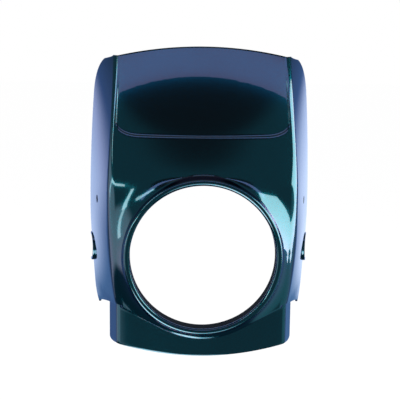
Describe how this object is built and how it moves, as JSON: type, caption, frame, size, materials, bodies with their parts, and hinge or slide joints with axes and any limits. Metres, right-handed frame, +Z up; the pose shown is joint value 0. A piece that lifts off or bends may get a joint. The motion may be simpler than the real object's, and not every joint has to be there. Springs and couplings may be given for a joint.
{
  "type": "motorbike headlight cowl",
  "caption": "One-piece moulded headlight cowl with a round lamp opening, a leaning hood and small screen panel, two side wings and a set-back chin.",
  "frame": {"origin": "on the axis of the round lamp opening, midway along the straight bore of its collar", "axes": "the lamp looks along -Y, +X is the viewer's right when facing the lamp, +Z is up"},
  "size_m": [0.2544, 0.1407, 0.331],
  "materials": {
    "paint": "gloss"
  },
  "bodies": {
    "root": {"cowl": "paint"}
  },
  "joints": []
}
